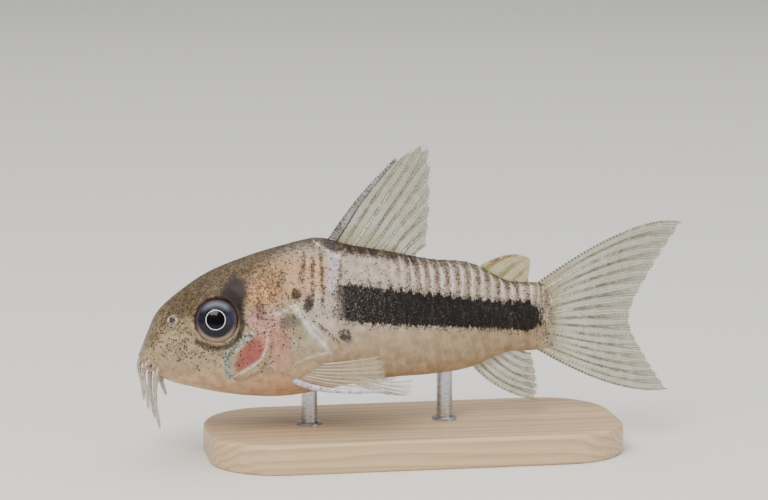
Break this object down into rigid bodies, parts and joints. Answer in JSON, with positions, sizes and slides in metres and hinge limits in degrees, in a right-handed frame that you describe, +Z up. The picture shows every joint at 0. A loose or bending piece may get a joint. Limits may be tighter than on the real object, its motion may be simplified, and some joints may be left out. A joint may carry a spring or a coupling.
{
  "type": "corydoras catfish display model",
  "caption": "Life-size corydoras catfish with plated flanks, barbels and ribbed fins, hovering nose-down on a low display stand.",
  "frame": {"origin": "middle of the whole model on the surface that it stands on", "axes": "+X towards the fish's tail, +Y towards the fish's right side, +Z up"},
  "size_m": [0.0556, 0.019, 0.0311],
  "materials": {
    "skin": "wet, peach-tan and cream with dark speckles and one black flank stripe",
    "eye": "clear dome over a black pupil with a bright silver ring",
    "fin": "thin translucent membrane with pale olive rays and fine dark dashes",
    "barbel": "soft translucent flesh, pale at the tip",
    "stand_wood": "satin maple with fine straight grain",
    "stand_steel": "brushed"
  },
  "bodies": {
    "root": {"head": "skin", "trunk": "skin", "tail": "skin", "gill_cover_left": "skin", "gill_cover_right": "skin", "eye_left": "eye", "eye_right": "eye", "dorsal_fin": "fin", "adipose_fin": "fin", "caudal_fin_upper_lobe": "fin", "caudal_fin_lower_lobe": "fin", "anal_fin": "fin", "pectoral_fin_left": "fin", "pectoral_fin_right": "fin", "pelvic_fin_left": "fin", "pelvic_fin_right": "fin", "front_barbel_left": "barbel", "front_barbel_right": "barbel", "rear_barbel_left": "barbel", "rear_barbel_right": "barbel", "chin_barbel_left": "barbel", "chin_barbel_right": "barbel", "stand_base": "stand_wood", "stand_rod_front": "stand_steel", "stand_rod_rear": "stand_steel"}
  },
  "joints": []
}
